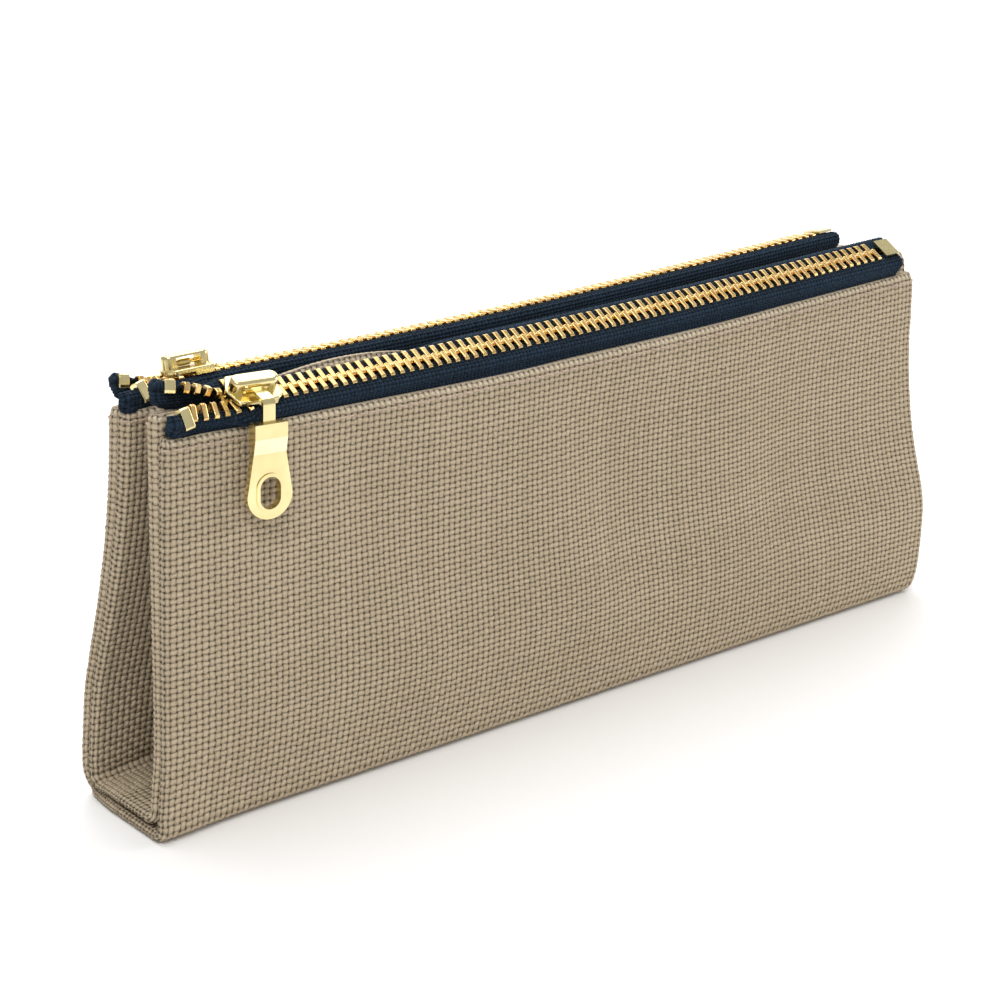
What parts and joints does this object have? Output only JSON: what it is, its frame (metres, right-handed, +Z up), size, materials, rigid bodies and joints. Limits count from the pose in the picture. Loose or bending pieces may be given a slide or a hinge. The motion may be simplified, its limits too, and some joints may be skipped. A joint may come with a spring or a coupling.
{
  "type": "pencil case",
  "caption": "Standing twin-pocket pencil case of thick woven canvas, each pocket closed by its own metal zip with a drop-shaped pull.",
  "frame": {"origin": "middle of the base's length and depth, on the surface the case stands on", "axes": "+X along the case towards the far end, where the zips' bottom stops are; -Y towards the front pouch; +Z up"},
  "size_m": [0.209, 0.0347, 0.0888],
  "materials": {
    "canvas": "coarse plain weave, matte",
    "stitching": "matte sewing thread",
    "zip_tape": "fine woven tape, matte",
    "zip_metal": "pale bright gold, polished"
  },
  "bodies": {
    "base": {"outer_base": "canvas", "inner_base": "canvas", "near_base_seam": "canvas", "far_base_seam": "canvas"},
    "front_pouch": {"front_panel": "canvas", "front_panel_topstitch": "stitching", "front_inner_wall": "canvas", "front_inner_wall_topstitch": "stitching", "front_near_end_seam": "canvas", "front_far_end_seam": "canvas", "front_zip_outer_tape": "zip_tape", "front_zip_outer_teeth": "zip_metal", "front_zip_outer_top_stop": "zip_metal", "front_zip_inner_tape": "zip_tape", "front_zip_inner_teeth": "zip_metal", "front_zip_inner_top_stop": "zip_metal", "front_zip_bottom_stop": "zip_metal"},
    "front_slider": {"front_slider_body": "zip_metal", "front_slider_crown": "zip_metal", "front_slider_axle": "zip_metal", "front_slider_lock_spring": "zip_metal"},
    "front_pull": {"front_pull": "zip_metal"},
    "back_pouch": {"back_panel": "canvas", "back_panel_topstitch": "stitching", "back_inner_wall": "canvas", "back_inner_wall_topstitch": "stitching", "back_near_end_seam": "canvas", "back_far_end_seam": "canvas", "back_zip_outer_tape": "zip_tape", "back_zip_outer_teeth": "zip_metal", "back_zip_outer_top_stop": "zip_metal", "back_zip_inner_tape": "zip_tape", "back_zip_inner_teeth": "zip_metal", "back_zip_inner_top_stop": "zip_metal", "back_zip_bottom_stop": "zip_metal"},
    "back_slider": {"back_slider_body": "zip_metal", "back_slider_crown": "zip_metal", "back_slider_axle": "zip_metal", "back_slider_lock_spring": "zip_metal"},
    "back_pull": {"back_pull": "zip_metal"}
  },
  "joints": [
    {"name": "front_pouch_fold", "type": "hinge", "parent": "base", "child": "front_pouch", "pos_m": [0, -0.0155, 0.0016], "axis": [1, 0, 0], "range_deg": [0, 25]},
    {"name": "back_pouch_fold", "type": "hinge", "parent": "base", "child": "back_pouch", "pos_m": [0, 0.0155, 0.0016], "axis": [-1, 0, 0], "range_deg": [0, 25]},
    {"name": "front_slider_travel", "type": "slide", "parent": "front_pouch", "child": "front_slider", "axis": [1, 0, 0.0066], "range_m": [-0.01, 0.1655], "deforming": ["front_zip_outer_tape", "front_zip_outer_teeth", "front_zip_inner_tape", "front_zip_inner_teeth"]},
    {"name": "back_slider_travel", "type": "slide", "parent": "back_pouch", "child": "back_slider", "axis": [0.9996, 0.0275, 0.0026], "range_m": [-0.0065, 0.169], "deforming": ["back_zip_outer_tape", "back_zip_outer_teeth", "back_zip_inner_tape", "back_zip_inner_teeth"]},
    {"name": "front_pull_swing", "type": "hinge", "parent": "front_slider", "child": "front_pull", "pos_m": [-0.0786, -0.01141, 0.08487], "axis": [-0.9965, 0.0755, 0.037], "range_deg": [0, 35]},
    {"name": "back_pull_swing", "type": "hinge", "parent": "back_slider", "child": "back_pull", "pos_m": [-0.08197, 0.00849, 0.08603], "axis": [0.9981, -0.0584, 0.0177], "range_deg": [0, 35]}
  ]
}
